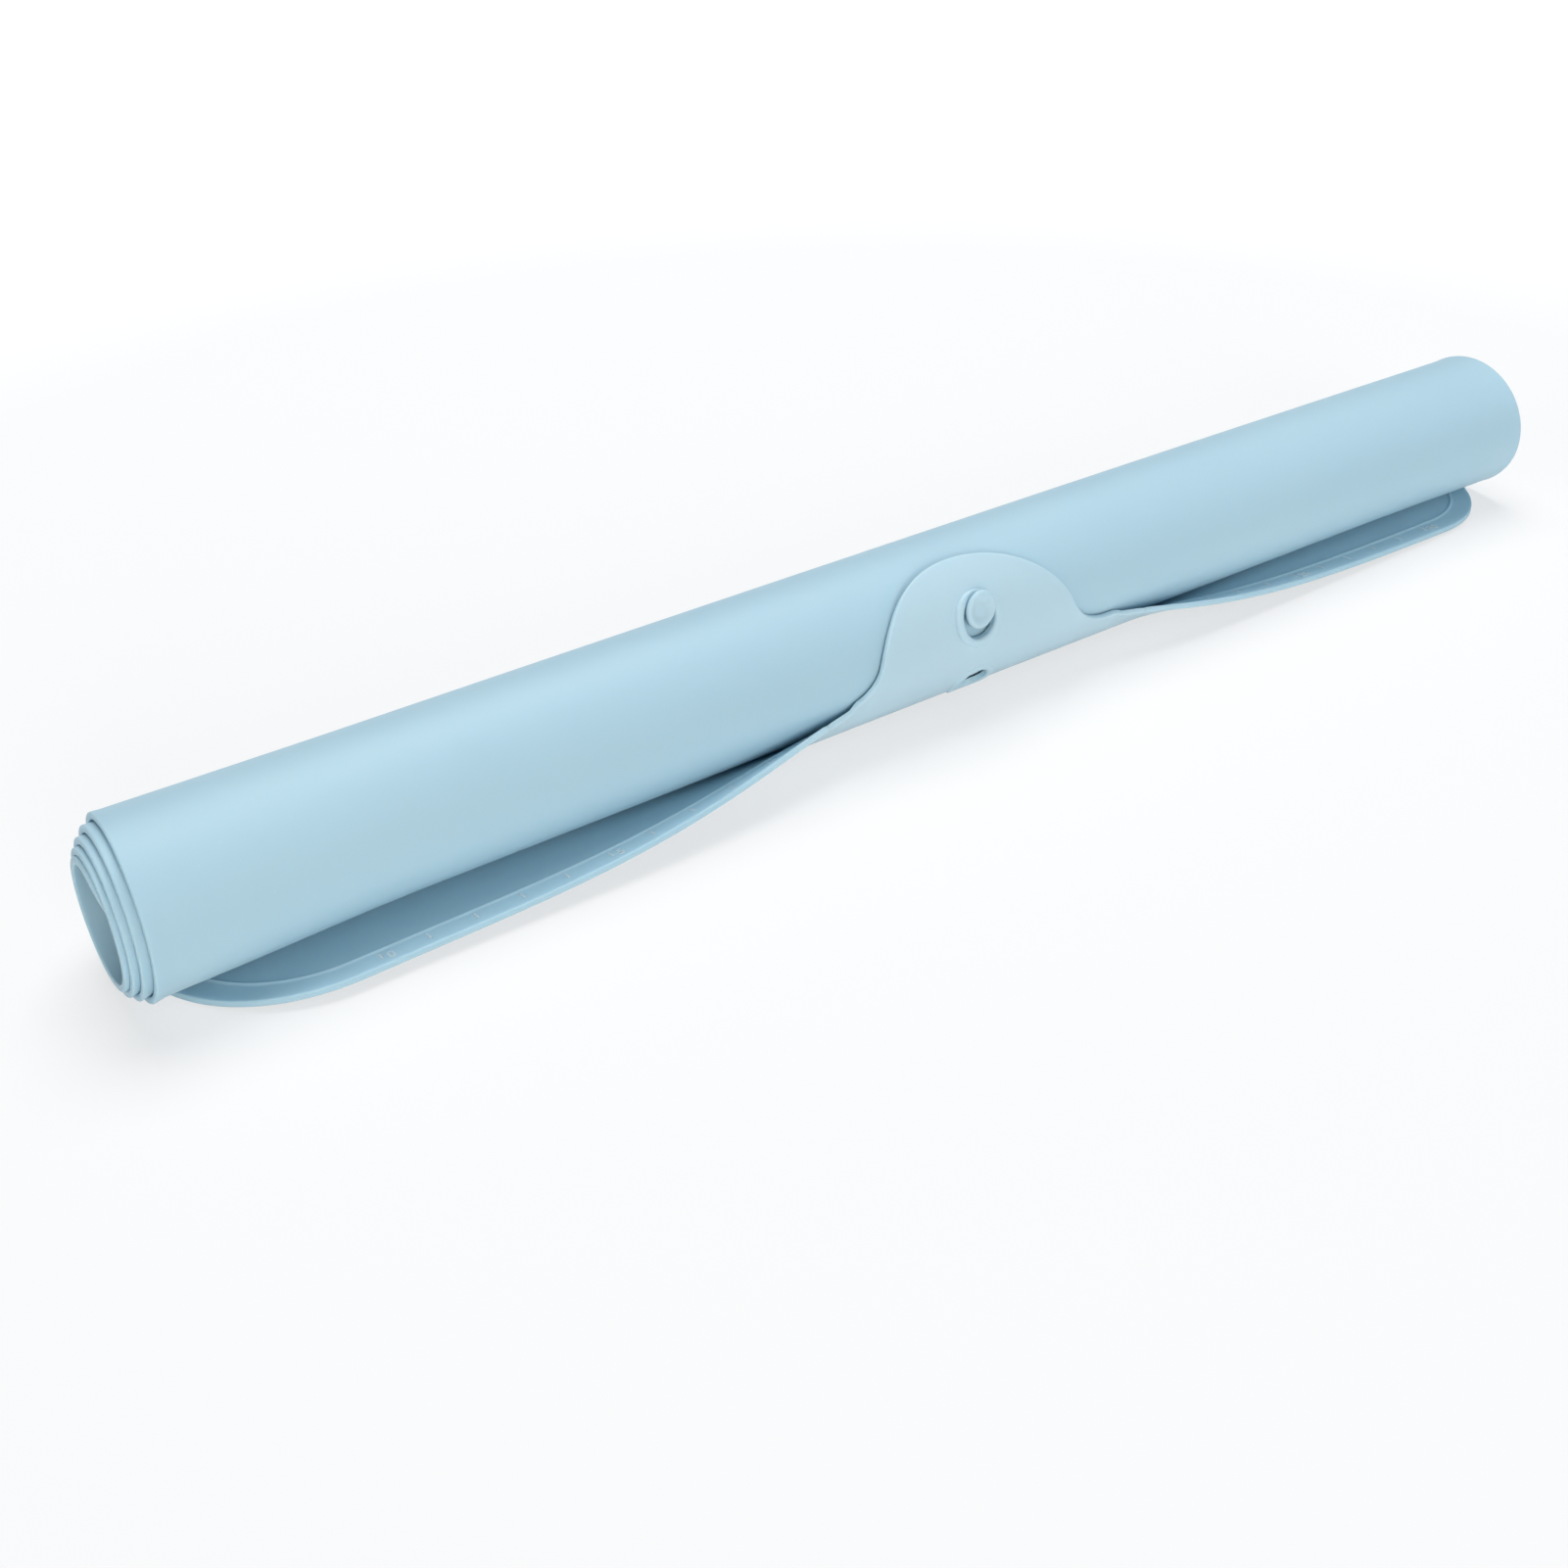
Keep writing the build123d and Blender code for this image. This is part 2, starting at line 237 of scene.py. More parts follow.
@dataclass(frozen=True)
class Winding:
    """How the mat is wound, as half turns from the free end inside to the table line."""

    sheet: MatSheet
    flap: Flap
    core_radius: float = 10.87 * MM
    inner_gap: float = 0.24 * MM
    outer_gap: float = 0.62 * MM
    half_turns: int = 9
    free_end_angle: float = -72.0
    first_turn_shift: float = 2.35 * MM
    shift_slowing: float = 0.22 * MM
    flat_depth: float = 0.25 * MM
    loose_start: float = 135 * MM
    loose_length: float = 55 * MM
    left_splay: float = 2.6 * MM
    right_splay: float = 0.9 * MM
    left_rise: float = 0.4 * MM
    left_turn: float = 0.7 * MM
    right_slant: float = 1.0 * MM
    sag: float = 1.3 * MM
    sag_start: float = 186 * MM
    sag_length: float = 6 * MM
    sag_limit: float = 1.2
    splay_centre: float = 0.37

    @property
    def start(self) -> float:
        """The free end's place, in half turns."""
        return (90 + self.free_end_angle) / 180 - 1

    def crossing_radius(self, index: int) -> float:
        """Distance from the axis to the sheet's middle at a crossing above or below it.

        Args:
            index: number of the crossing, from the first one on top of the core.

        Returns:
            The distance in metres.
        """
        radius = self.core_radius
        step = 1 if index > 0 else -1
        for turn in range(0, index, step):
            gap = self.inner_gap + (self.outer_gap - self.inner_gap) * turn / self.half_turns
            radius += step * (self.sheet.thickness + gap) / 2
        return radius

    @property
    def axis_height(self) -> float:
        """Height of the roll's axis above the table."""
        return self.sheet.half - self.flat_depth + self.crossing_radius(self.half_turns)

    def crossing_height(self, index: int) -> float:
        """Height of the sheet's middle at a crossing: even ones on top, odd ones below."""
        side = 1 if index % 2 == 0 else -1
        return self.axis_height + side * self.crossing_radius(index)

    def shift(self, turn: float) -> float:
        """How far the sheet has moved to the left, because its laps telescope."""
        turns = (self.half_turns - turn) / 2
        return self.first_turn_shift * turns - self.shift_slowing * turns * turns

    def radius(self, turn: float) -> float:
        """Radius of the sheet's middle in the half turn that holds a place."""
        index = min(math.floor(turn), self.half_turns - 1)
        return abs(self.crossing_height(index) - self.crossing_height(index + 1)) / 2

    def place(self, x: float, turn: float, depth: float) -> Point3:
        """Where a place on the wound sheet lies.

        Args:
            x: place along the roll.
            turn: place along the winding, in half turns.
            depth: distance from the sheet's middle, above zero towards the axis.

        Returns:
            The place in metres.
        """
        index = min(math.floor(turn), self.half_turns - 1)
        middle = (self.crossing_height(index) + self.crossing_height(index + 1)) / 2
        side = 1 if index % 2 == 0 else -1
        swing = math.pi * (turn - index)
        radius = self.radius(turn)
        height = middle + side * radius * math.cos(swing)
        flattened = max(height, self.sheet.half) - height
        up = middle + side * (radius - depth) * math.cos(swing) + flattened + self.flap.lift(x)
        return self.loosen(x, side * (radius - depth) * math.sin(swing), up)

    def loosen(self, x: float, y: float, z: float) -> Point3:
        """Slackens the roll's two ends, which the tongue doesn't hold.

        They splay out towards the front, the overhanging laps sag, and the ends slant a little.

        Args:
            x: place along the roll.
            y: place across the roll.
            z: height above the table.

        Returns:
            The slackened place.
        """
        out = z / self.axis_height - 1
        free = ease((abs(x) - self.loose_start) / self.loose_length)
        front = self.splay_centre - (1 - self.splay_centre) * y / self.axis_height
        if x > 0:
            return (x - self.right_slant * free * out, y - self.right_splay * free * front, z)
        tip = min(max((-x - self.sag_start) / self.sag_length, 0.0), self.sag_limit)
        z += self.left_rise * free * max(out, 0.0) - self.sag * tip * tip * (1 - out) / 2
        return (x + self.left_turn * free * y / self.axis_height,
                y - self.left_splay * free * front, max(z, 0.0))


def make_object(name: str, vertices: Sequence[Point3],
                faces: Sequence[Sequence[int]]) -> bpy.types.Object:
    """Makes a smooth-shaded mesh object.

    Args:
        name: the object's name.
        vertices: places in metres.
        faces: vertex numbers of each face.

    Returns:
        The new object, linked to the scene.
    """
    mesh = bpy.data.meshes.new(name)
    mesh.from_pydata(vertices, [], faces)
    mesh.validate()
    mesh.shade_smooth()
    mesh.set_sharp_from_angle(angle=SHARP_ANGLE)
    piece = bpy.data.objects.new(name, mesh)
    bpy.context.scene.collection.objects.link(piece)
    return piece


def distance_to_line(points: np.ndarray, line: np.ndarray) -> np.ndarray:
    """Distance of each point from an open line of straight runs.

    Args:
        points: one point in each row.
        line: the line's corners, one in each row.

    Returns:
        One distance for each point.
    """
    start, run = line[:-1], np.diff(line, axis=0)
    offset = points[:, None, :] - start[None, :, :]
    along = np.clip((offset * run).sum(-1) / (run * run).sum(-1), 0, 1)
    return np.linalg.norm(offset - along[..., None] * run, axis=-1).min(axis=1)


def arc(centre: Point2, radius: float, start: float, end: float, steps: int) -> list[Point2]:
    """Points on an arc, from one angle in degrees to another.

    Args:
        centre: the arc's middle.
        radius: the arc's radius.
        start: first angle in degrees.
        end: last angle in degrees.
        steps: number of equal steps.

    Returns:
        The points with both ends.
    """
    angles = np.radians(np.linspace(start, end, steps + 1))
    return [(centre[0] + radius * math.cos(a), centre[1] + radius * math.sin(a)) for a in angles]


def spread(start: Point2, end: Point2, step: float) -> list[Point2]:
    """Points on a straight run, no further apart than a step, without its last point.

    Args:
        start: first end of the run.
        end: last end of the run, which is left out.
        step: the widest spacing.

    Returns:
        Evenly spaced points.
    """
    count = max(1, math.ceil(math.dist(start, end) / step))
    return [(start[0] + (end[0] - start[0]) * i / count,
             start[1] + (end[1] - start[1]) * i / count) for i in range(count)]


@dataclass
class RolledSheet:
    """The mat's wound laps, from the free end inside to the bend at the table line."""

    winding: Winding
    bend: float = 3.45 * MM
    column_step: float = 9 * MM
    row_degrees: float = 4.0
    bead_half_turns: float = 2.0
    rim_steps: tuple[float, ...] = (0.0, 0.06, 0.16, 0.36, 0.9, 2.2)
    bead_shares: tuple[float, ...] = (-1.2, -0.8, -0.4, 0, 0.4, 0.8, 1.2)
    bend_shares: tuple[float, ...] = (0.34, 0.67, 1.0)

    def columns(self, left: float, right: float) -> list[float]:
        """Distances from the sheet's left edge, close together at its edges and bead.

        Args:
            left: place of the sheet's left edge.
            right: place of the sheet's right edge.

        Returns:
            The distances in metres, from the left edge to the right one.
        """
        sheet = self.winding.sheet
        width = right - left
        near = [step * MM for step in self.rim_steps]
        near += [sheet.bead_inset + sheet.bead_half_width * share
                 for share in self.bead_shares]
        first = near[-1] + sheet.bead_half_width
        count = round((sheet.width - 2 * first) / self.column_step)
        middle = [first + (width - 2 * first) * i / count for i in range(count + 1)]
        return near + middle + [width - d for d in reversed(near)]

    def rows(self) -> list[float]:
        """Places along the winding, close together at the free end.

        Returns:
            The places in half turns.
        """
        first = self.winding.start
        length = math.pi * self.winding.radius(first)
        near = [first + step * MM / length for step in self.rim_steps]
        count = math.ceil((self.winding.half_turns - near[-1]) * 180 / self.row_degrees)
        return near[:-1] + list(np.linspace(near[-1], self.winding.half_turns, count))

    def corner(self, reach: float) -> float:
        """How far the rounded inner corner draws the side edge in.

        Args:
            reach: way along the sheet from its free end.

        Returns:
            How far the edge lies inside the sheet's full width.
        """
        radius = self.winding.sheet.corner_radius
        if reach >= radius:
            return 0.0
        return radius - math.sqrt(radius**2 - (radius - reach) ** 2)

    @staticmethod
    def skin(height: int, width: int) -> list[list[int]]:
        """Faces of a sheet whose points come in pairs, first the outer and then the inner one.

        Args:
            height: number of rows along the winding.
            width: number of pairs in each row.

        Returns:
            The two broad sides, then the side edges, then the two ends.
        """
        faces: list[list[int]] = []
        for i in range(height - 1):
            for j in range(width - 1):
                a, b = 2 * (i * width + j), 2 * (i * width + j + 1)
                c, d = a + 2 * width, b + 2 * width
                faces.append([a, b, d, c])
                faces.append([a + 1, c + 1, d + 1, b + 1])
        for i in range(height - 1):
            a = 2 * i * width
            b = a + 2 * (width - 1)
            faces.append([a, a + 2 * width, a + 2 * width + 1, a + 1])
            faces.append([b, b + 1, b + 2 * width + 1, b + 2 * width])
        for j in range(width - 1):
            a = 2 * j
            b = 2 * ((height - 1) * width + j)
            faces.append([a, a + 1, a + 3, a + 2])
            faces.append([b, b + 2, b + 3, b + 1])
        return faces

    def build(self) -> bpy.types.Object:
        """Builds the wound sheet as one closed mesh.

        Returns:
            The wound laps, which ride on the roll.
        """
        winding, sheet = self.winding, self.winding.sheet
        vertices: list[Point3] = []
        rows = [(turn, None) for turn in self.rows()]
        rows += [(None, self.bend * share) for share in self.bend_shares]
        reach = 0.0
        last = winding.start
        width = 0
        for turn, beyond in rows:
            if turn is not None:
                reach += (turn - last) * math.pi * winding.radius(turn)
                last = turn
                shift = winding.shift(turn)
            draw = self.corner(reach)
            left = -winding.flap.left.half_width - shift + draw
            right = winding.flap.right.half_width - shift - draw
            columns = self.columns(left, right)
            width = len(columns)
            for away in columns:
                inside = min(away, right - left - away)
                half = sheet.edge_half(min(inside, reach) if beyond is None else inside)
                raised = 0.0
                if turn is not None and turn < winding.start + self.bead_half_turns:
                    raised = sheet.bead(abs(inside - sheet.bead_inset))
                for depth in (-half, half + raised):
                    if turn is None:
                        vertices.append(winding.flap.lay(left + away, beyond, depth))
                    else:
                        vertices.append(winding.place(left + away, turn, depth))
        piece = make_object("wound_laps", vertices, self.skin(len(rows), width))
        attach(piece, "roll")
        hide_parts("rolled_sheet")
        return piece


@dataclass(frozen=True)
class Eyelet:
    """A moulded hole with a raised rim on the sheet's outer face."""

    centre: Point2
    hole_radius: float = 4.3 * MM
    rim_radius: float = 6.3 * MM
    rim_height: float = 0.8 * MM
    rim_softness: float = 0.55
    rim_squareness: float = 3.2
    ring_points: int = 56
    ring_shares: tuple[float, ...] = (0.03, 0.09, 0.19, 0.33, 0.5, 0.67, 0.81, 0.91, 0.97, 1.0,
                                      1.15)

    def height(self, distance: float) -> float:
        """Height of the rim at a distance from the hole's middle.

        Args:
            distance: how far the place lies from the hole's middle.

        Returns:
            The rim's height above the sheet.
        """
        across = (distance - self.hole_radius) / (self.rim_radius - self.hole_radius)
        if across >= 1:
            return 0.0
        fall = abs(2 * max(across, 0.0) - 1) ** self.rim_squareness
        return self.rim_height * (1 - fall) ** self.rim_softness

    def rings(self) -> list[float]:
        """Radii at which the mesh has a ring of points."""
        run = self.rim_radius - self.hole_radius
        return [self.hole_radius + run * share for share in self.ring_shares]

    def ring(self, radius: float) -> list[Point2]:
        """Points of one ring round the hole."""
        return arc(self.centre, radius, 0, 360, self.ring_points)[:-1]


@dataclass
class Panel:
    """A stretch of the flap's sheet, meshed from its flat outline and then laid in place."""

    name: str
    flap: Flap
    free_edge: list[Point2]
    seam: list[Point2]
    bead_line: list[Point2]
    eyelets: list[Eyelet] = field(default_factory=list)
    grid: float = 1.3 * MM
    edge_insets: tuple[float, ...] = (-0.9, -0.36, -0.14, -0.05, 0.05, 0.14, 0.36, 0.9)
    bead_shares: tuple[float, ...] = (-1.25, -0.8, -0.4, 0.0, 0.4, 0.8, 1.25)
    edge_clearance: float = 0.03 * MM
    hole_clearance: float = 0.02 * MM
    seam_clearance: float = 0.25 * MM
    edge_band: float = 1.4 * MM
    bead_clearance: float = 0.4 * MM

    def spots(self) -> tuple[list[Point2], list[list[int]]]:
        """Lays out the flat points.

        Returns:
            The points, and the closed loops of point numbers: the outline, then each hole.
        """
        outline = self.free_edge + self.seam[1:-1]
        points = list(outline)
        loops = [list(range(len(points)))]
        for eyelet in self.eyelets:
            ring = eyelet.ring(eyelet.hole_radius)
            loops.append(list(range(len(points), len(points) + len(ring))))
            points += ring
        lines = [self.offset_line(self.free_edge, inset * MM) for inset in self.edge_insets]
        half = self.flap.sheet.bead_half_width
        lines += [self.offset_line(self.bead_line, half * share) for share in self.bead_shares]
        for eyelet in self.eyelets:
            lines += [eyelet.ring(radius) for radius in eyelet.rings()]
        edge = np.array(self.free_edge)
        extra = np.array([p for line in lines for p in line])
        flat = np.array(outline)
        kept = self.inside(extra, flat)
        kept &= distance_to_line(extra, edge) > self.edge_clearance
        kept &= self.clear_of_holes(extra, self.hole_clearance)
        kept &= distance_to_line(extra, np.array(self.seam)) > self.seam_clearance
        points += [tuple(p) for p in extra[kept]]
        low, high = flat.min(axis=0), flat.max(axis=0)
        across = np.arange(low[0] + self.grid / 2, high[0], self.grid)
        along = np.arange(low[1] + self.grid / 2, high[1], self.grid)
        mesh = np.array([(x, y) for x in across for y in along])
        fill = self.inside(mesh, flat) & (distance_to_line(mesh, edge) > self.edge_band)
        bead_band = self.bead_shares[-1] * half + self.bead_clearance
        fill &= distance_to_line(mesh, np.array(self.bead_line)) > bead_band
        fill &= distance_to_line(mesh, np.array(self.seam)) > 0.5 * self.grid
        for eyelet in self.eyelets:
            gap = np.linalg.norm(mesh - np.array(eyelet.centre), axis=1)
            fill &= gap > eyelet.rings()[-1] + 0.4 * self.grid
        points += [tuple(p) for p in mesh[fill]]
        return points, loops

    def clear_of_holes(self, points: np.ndarray, margin: float) -> np.ndarray:
        """Which points lie outside every hole by a margin.

        Args:
            points: one point in each row.
            margin: the clearance that is asked for.

        Returns:
            True for each point that is clear.
        """
        clear = np.ones(len(points), bool)
        for eyelet in self.eyelets:
            gap = np.linalg.norm(points - np.array(eyelet.centre), axis=1)
            clear &= gap > eyelet.hole_radius + margin
        return clear

    @staticmethod
    def offset_line(line: list[Point2], inset: float) -> list[Point2]:
        """A line moved to its right-hand side by an inset.

        Args:
            line: the line's points.
            inset: how far it moves, below zero to its left.

        Returns:
            The moved points.
        """
        flat = np.array(line)
        run = np.gradient(flat, axis=0)
        run /= np.linalg.norm(run, axis=1)[:, None]
        return [(p[0] + inset * r[1], p[1] - inset * r[0]) for p, r in zip(flat, run)]

    @staticmethod
    def inside(points: np.ndarray, outline: np.ndarray) -> np.ndarray:
        """Which points lie inside a closed outline.

        Args:
            points: one point in each row.
            outline: the outline's corners, one in each row.

        Returns:
            True for each point inside.
        """
        inside = np.zeros(len(points), bool)
        x, y = points[:, 0], points[:, 1]
        for (ax, ay), (bx, by) in zip(outline, np.roll(outline, -1, axis=0)):
            if ay == by:
                continue
            crosses = (y < ay) != (y < by)
            inside ^= crosses & (x < ax + (y - ay) * (bx - ax) / (by - ay))
        return inside

    def build(self) -> bpy.types.Object:
        """Meshes the panel as one closed piece of sheet.

        Returns:
            The laid panel.
        """
        sheet = self.flap.sheet
        points, loops = self.spots()
        borders = [(a, b) for loop in loops for a, b in zip(loop, loop[1:] + loop[:1])]
        flat, _, triangles, sources, _, _ = delaunay_2d_cdt(
            [Vector(p) for p in points], borders, [], 0, 1e-7)
        new_of_old = {old: new for new, group in enumerate(sources) for old in group}
        places = np.array([tuple(p) for p in flat])
        middles = np.array([places[list(t)].mean(axis=0) for t in triangles])
        outline = np.array([points[i] for i in loops[0]])
        keep = self.inside(middles, outline)
        keep &= self.clear_of_holes(middles, -self.hole_clearance)
        edge_gap = distance_to_line(places, np.array(self.free_edge))
        bead_gap = distance_to_line(places, np.array(self.bead_line))
        vertices: list[Point3] = []
        for (x, past), gap, bead in zip(places, edge_gap, bead_gap):
            half = sheet.edge_half(gap)
            outer = half
            for eyelet in self.eyelets:
                away = math.dist((x, past), eyelet.centre)
                half = min(half, sheet.edge_half(away - eyelet.hole_radius))
                outer += eyelet.height(away)
            vertices.append(self.flap.place(x, past, -outer))
            vertices.append(self.flap.place(x, past, half + sheet.bead(bead)))
        faces: list[list[int]] = []
        for (a, b, c), kept in zip(triangles, keep):
            if kept:
                faces.append([2 * a, 2 * b, 2 * c])
                faces.append([2 * c + 1, 2 * b + 1, 2 * a + 1])
        for a, b in ((new_of_old[a], new_of_old[b]) for a, b in borders):
            faces.append([2 * a, 2 * b, 2 * b + 1, 2 * a + 1])
        piece = make_object(self.name, vertices, faces)
        tidy_normals(piece)
        return piece


def tidy_normals(piece: bpy.types.Object) -> None:
    """Turns all faces of a closed mesh outwards.

    Args:
        piece: the closed mesh object.
    """
    work = bmesh.new()
    work.from_mesh(piece.data)
    bmesh.ops.recalc_face_normals(work, faces=work.faces)
    work.to_mesh(piece.data)
    work.free()
    piece.data.set_sharp_from_angle(angle=SHARP_ANGLE)


@dataclass
class ClosingFlap:
    """The last lap with its tongue: three panels that bend against the roll."""

    flap: Flap
    start: float = 3.45 * MM
    panel_half_width: float = 46 * MM
    tongue_radius: float = 29.3 * MM
    tongue_sink: float = 3.4 * MM
    tongue_fillet: float = 13.0 * MM
    tongue_lean: float = 0.093
    side_step: float = -2.8 * MM
    lean_from: float = 16.8 * MM
    lower_hole: float = 16.0 * MM
    upper_hole: float = 34.35 * MM
    lower_hole_shift: float = -0.4 * MM
    upper_hole_shift: float = -0.15 * MM
    lower_rim_radius: float = 6.0 * MM
    lower_rim_height: float = 0.38 * MM
    lower_rim_softness: float = 1.3
    upper_rim_height: float = 0.8 * MM
    bend: float = 27.2 * MM
    bend_half_width: float = 2.6 * MM
    outline_step: float = 1.0 * MM

    def side(self, reach: float) -> float:
        """Sideways place of the tongue's middle line, by the reach from the table line."""
        return self.side_step - self.tongue_lean * (reach - self.lean_from)

    def past_edge(self, x: float, reach: float) -> Point2:
        """Turns a reach from the table line into a distance past the mat's edge."""
        return (x, reach - self.flap.reach(x))

    def eyelets(self) -> list[Eyelet]:
        """The flap's two holes.

        Returns:
            The lower one, then the upper one.
        """
        lower = self.side(self.lower_hole) + self.lower_hole_shift
        upper = self.side(self.upper_hole) + self.upper_hole_shift
        return [Eyelet(self.past_edge(lower, self.lower_hole), rim_radius=self.lower_rim_radius,
                       rim_height=self.lower_rim_height, rim_softness=self.lower_rim_softness),
                Eyelet(self.past_edge(upper, self.upper_hole),
                       rim_height=self.upper_rim_height)]

    def table_seam(self, start: float, end: float) -> list[Point2]:
        """The seam along the table line, from one place along the roll to another."""
        return [self.past_edge(x, self.start)
                for x, _ in spread((start, 0), (end, 0), 2 * self.outline_step)]

    def wing(self, side: Side) -> bpy.types.Object:
        """One outer stretch of the flap, with the mat's rounded corner.

        Args:
            side: the end of the roll that it lies at.

        Returns:
            The wing, laid against the roll and opening out from it.
        """
        sheet, flap, sign = self.flap.sheet, self.flap, side.value
        half_width, radius = flap.side(sign).half_width, flap.side(sign).corner_radius
        centre = (sign * (half_width - radius), -radius)
        turn = (0, 90) if side is Side.RIGHT else (180, 90)
        corner = arc(centre, radius, *turn, 60)
        bead = arc(centre, radius - sheet.bead_inset, *turn, 48)
        edge = [(x, past) for x, past in corner if flap.reach(x) + past > self.start]
        inner = sign * self.panel_half_width
        edge += spread(corner[-1], (inner, 0.0), self.outline_step)[1:] + [(inner, 0.0)]
        bead += spread(bead[-1], (inner, -sheet.bead_inset), self.outline_step)[1:]
        bead.append((inner, -sheet.bead_inset))
        seam = spread((inner, 0.0), self.past_edge(inner, self.start), self.outline_step)
        seam += self.table_seam(inner, edge[0][0]) + [edge[0]]
        piece = Panel(f"{side.name.lower()}_flap", flap, edge, seam, bead).build()
        body = f"{side.name.lower()}_wing"
        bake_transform(piece)
        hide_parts(body)
        return piece

    def outline(self) -> list[Point2]:
        """The tongue's free edge from right to left: a hollow, a round end and a hollow.

        Returns:
            The edge's points, as x and distance past the mat's edge.
        """
        rise = self.tongue_sink + self.tongue_fillet
        base = math.sqrt((self.tongue_radius + self.tongue_fillet) ** 2 - rise**2)
        lift = math.degrees(math.atan2(rise, base))
        right = arc((base, self.tongue_fillet), self.tongue_fillet, 270, 180 + lift, 18)[:-1]
        right += arc((0, -self.tongue_sink), self.tongue_radius, lift, 90, 52)
        shape = right + [(-x, along) for x, along in reversed(right[:-1])]
        return [(x + self.side(self.flap.middle_reach + along), along) for x, along in shape]

    def tongue(self) -> bpy.types.Object:
        """The middle of the flap with the closing tongue.

        Returns:
            The panel with the tongue, laid against the roll.
        """
        flap = self.flap
        curve = self.outline()
        half = self.panel_half_width
        edge = spread((half, 0.0), curve[0], self.outline_step) + curve
        edge += spread(curve[-1], (-half, 0.0), self.outline_step)[1:] + [(-half, 0.0)]
        seam = spread(edge[-1], self.past_edge(-half, self.start), self.outline_step)
        seam += self.table_seam(-half, half)
        seam += spread(self.past_edge(half, self.start), edge[0], self.outline_step) + [edge[0]]
        bead = spread((half, -flap.sheet.bead_inset), (-half, -flap.sheet.bead_inset),
                      self.outline_step)
        bead.append((-half, -flap.sheet.bead_inset))
        piece = Panel("closing_flap", flap, edge, seam, bead, self.eyelets()).build()
        bend = flap.lay(0, self.bend, 0)
        low, high = (flap.lay(0, self.bend + step, 0)[2]
                     for step in (-self.bend_half_width, self.bend_half_width))
        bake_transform(piece)
        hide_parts("flap_middle", "closing_tongue", "lower_rim", "upper_rim")
        return piece


@dataclass
class ClosingStud:
    """The mushroom stud moulded on the lap below, with a dished head.

    The tongue pulls on it, so the head is pushed along the tongue and tilts a little downwards.
    """

    closing: ClosingFlap
    stem_radius: float = 2.3 * MM
    stem_foot: float = -2.2 * MM
    stem_flare: float = 0.8 * MM
    stem_flare_height: float = 1.2 * MM
    neck: float = 0.15 * MM
    neck_flare: float = 0.2 * MM
    head_radius: float = 4.3 * MM
    head_thickness: float = 1.35 * MM
    rim_round: float = 0.6 * MM
    dish_depth: float = 0.75 * MM
    dish_steps: int = 14
    dish_steepness: float = 1.7
    proud: float = 0.9 * MM
    push: float = 2.35 * MM
    side_push: float = 0.2 * MM
    tilt_degrees: float = 17.0
    turn_degrees: float = 7.0
    sides: int = 72

    def profile(self) -> list[Point2]:
        """Half outline of the stud, as radius and height above the flap's middle.

        Returns:
            The points, from the foot of the stem to the middle of the dish.
        """
        top = self.closing.flap.sheet.half + self.closing.upper_rim_height + self.proud
        edge = self.rim_round
        low = top - self.head_thickness
        points = [(self.stem_radius + self.stem_flare, self.stem_foot),
                  (self.stem_radius, self.stem_foot + self.stem_flare_height),
                  (self.stem_radius, low - self.neck),
                  (self.stem_radius + self.neck_flare, low)]
        points += arc((self.head_radius - edge, low + edge), edge, -90, 0, 5)
        points += arc((self.head_radius - edge, top - edge), edge, 0, 90, 6)
        dish = self.head_radius - edge
        for step in range(1, self.dish_steps + 1):
            share = step / self.dish_steps
            hollow = self.dish_depth * ease(self.dish_steepness * share)
            points.append((dish * (1 - share), top - hollow))
        return points

    def axes(self, square: Vector) -> tuple[Vector, Vector, Vector]:
        """The stud's own axes, tilted and turned.

        Args:
            square: the way out, square to the flap.

        Returns:
            The ways out, across and up.
        """
        out = square.normalized()
        across = Vector((1, 0, 0))
        out.rotate(Quaternion(across, math.radians(self.tilt_degrees)))
        out.rotate(Quaternion(Vector((0, 0, 1)), math.radians(self.turn_degrees)))
        up = out.cross(across).normalized()
        return out, up.cross(out), up

    def build(self) -> bpy.types.Object:
        """Builds the stud as a turned mesh, out through the upper hole.

        Returns:
            The stud, which rides on the roll.
        """
        flap = self.closing.flap
        reach = self.closing.upper_hole + self.push
        x = self.closing.side(reach) + self.side_push
        foot = Vector(flap.lay(x, reach, 0))
        out, across, up = self.axes(Vector(flap.lay(x, reach, -MM)) - foot)
        profile = self.profile()
        vertices: list[Point3] = []
        faces: list[list[int]] = []
        for radius, height in profile[:-1]:
            for i in range(self.sides):
                turn = 2 * math.pi * i / self.sides
                spot = foot + out * height
                spot += (across * math.cos(turn) + up * math.sin(turn)) * radius
                vertices.append(tuple(spot))
        for ring in range(len(profile) - 2):
            for i in range(self.sides):
                j = (i + 1) % self.sides
                a, b = ring * self.sides, (ring + 1) * self.sides
                faces.append([a + i, a + j, b + j, b + i])
        vertices.append(tuple(foot + out * profile[-1][1]))
        last = (len(profile) - 2) * self.sides
        for i in range(self.sides):
            faces.append([last + i, last + (i + 1) % self.sides, len(vertices) - 1])
        faces.append(list(reversed(range(self.sides))))
        piece = make_object("stud", vertices, faces)
        tidy_normals(piece)
        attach(piece, "roll")
        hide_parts("closing_stud")
        return piece


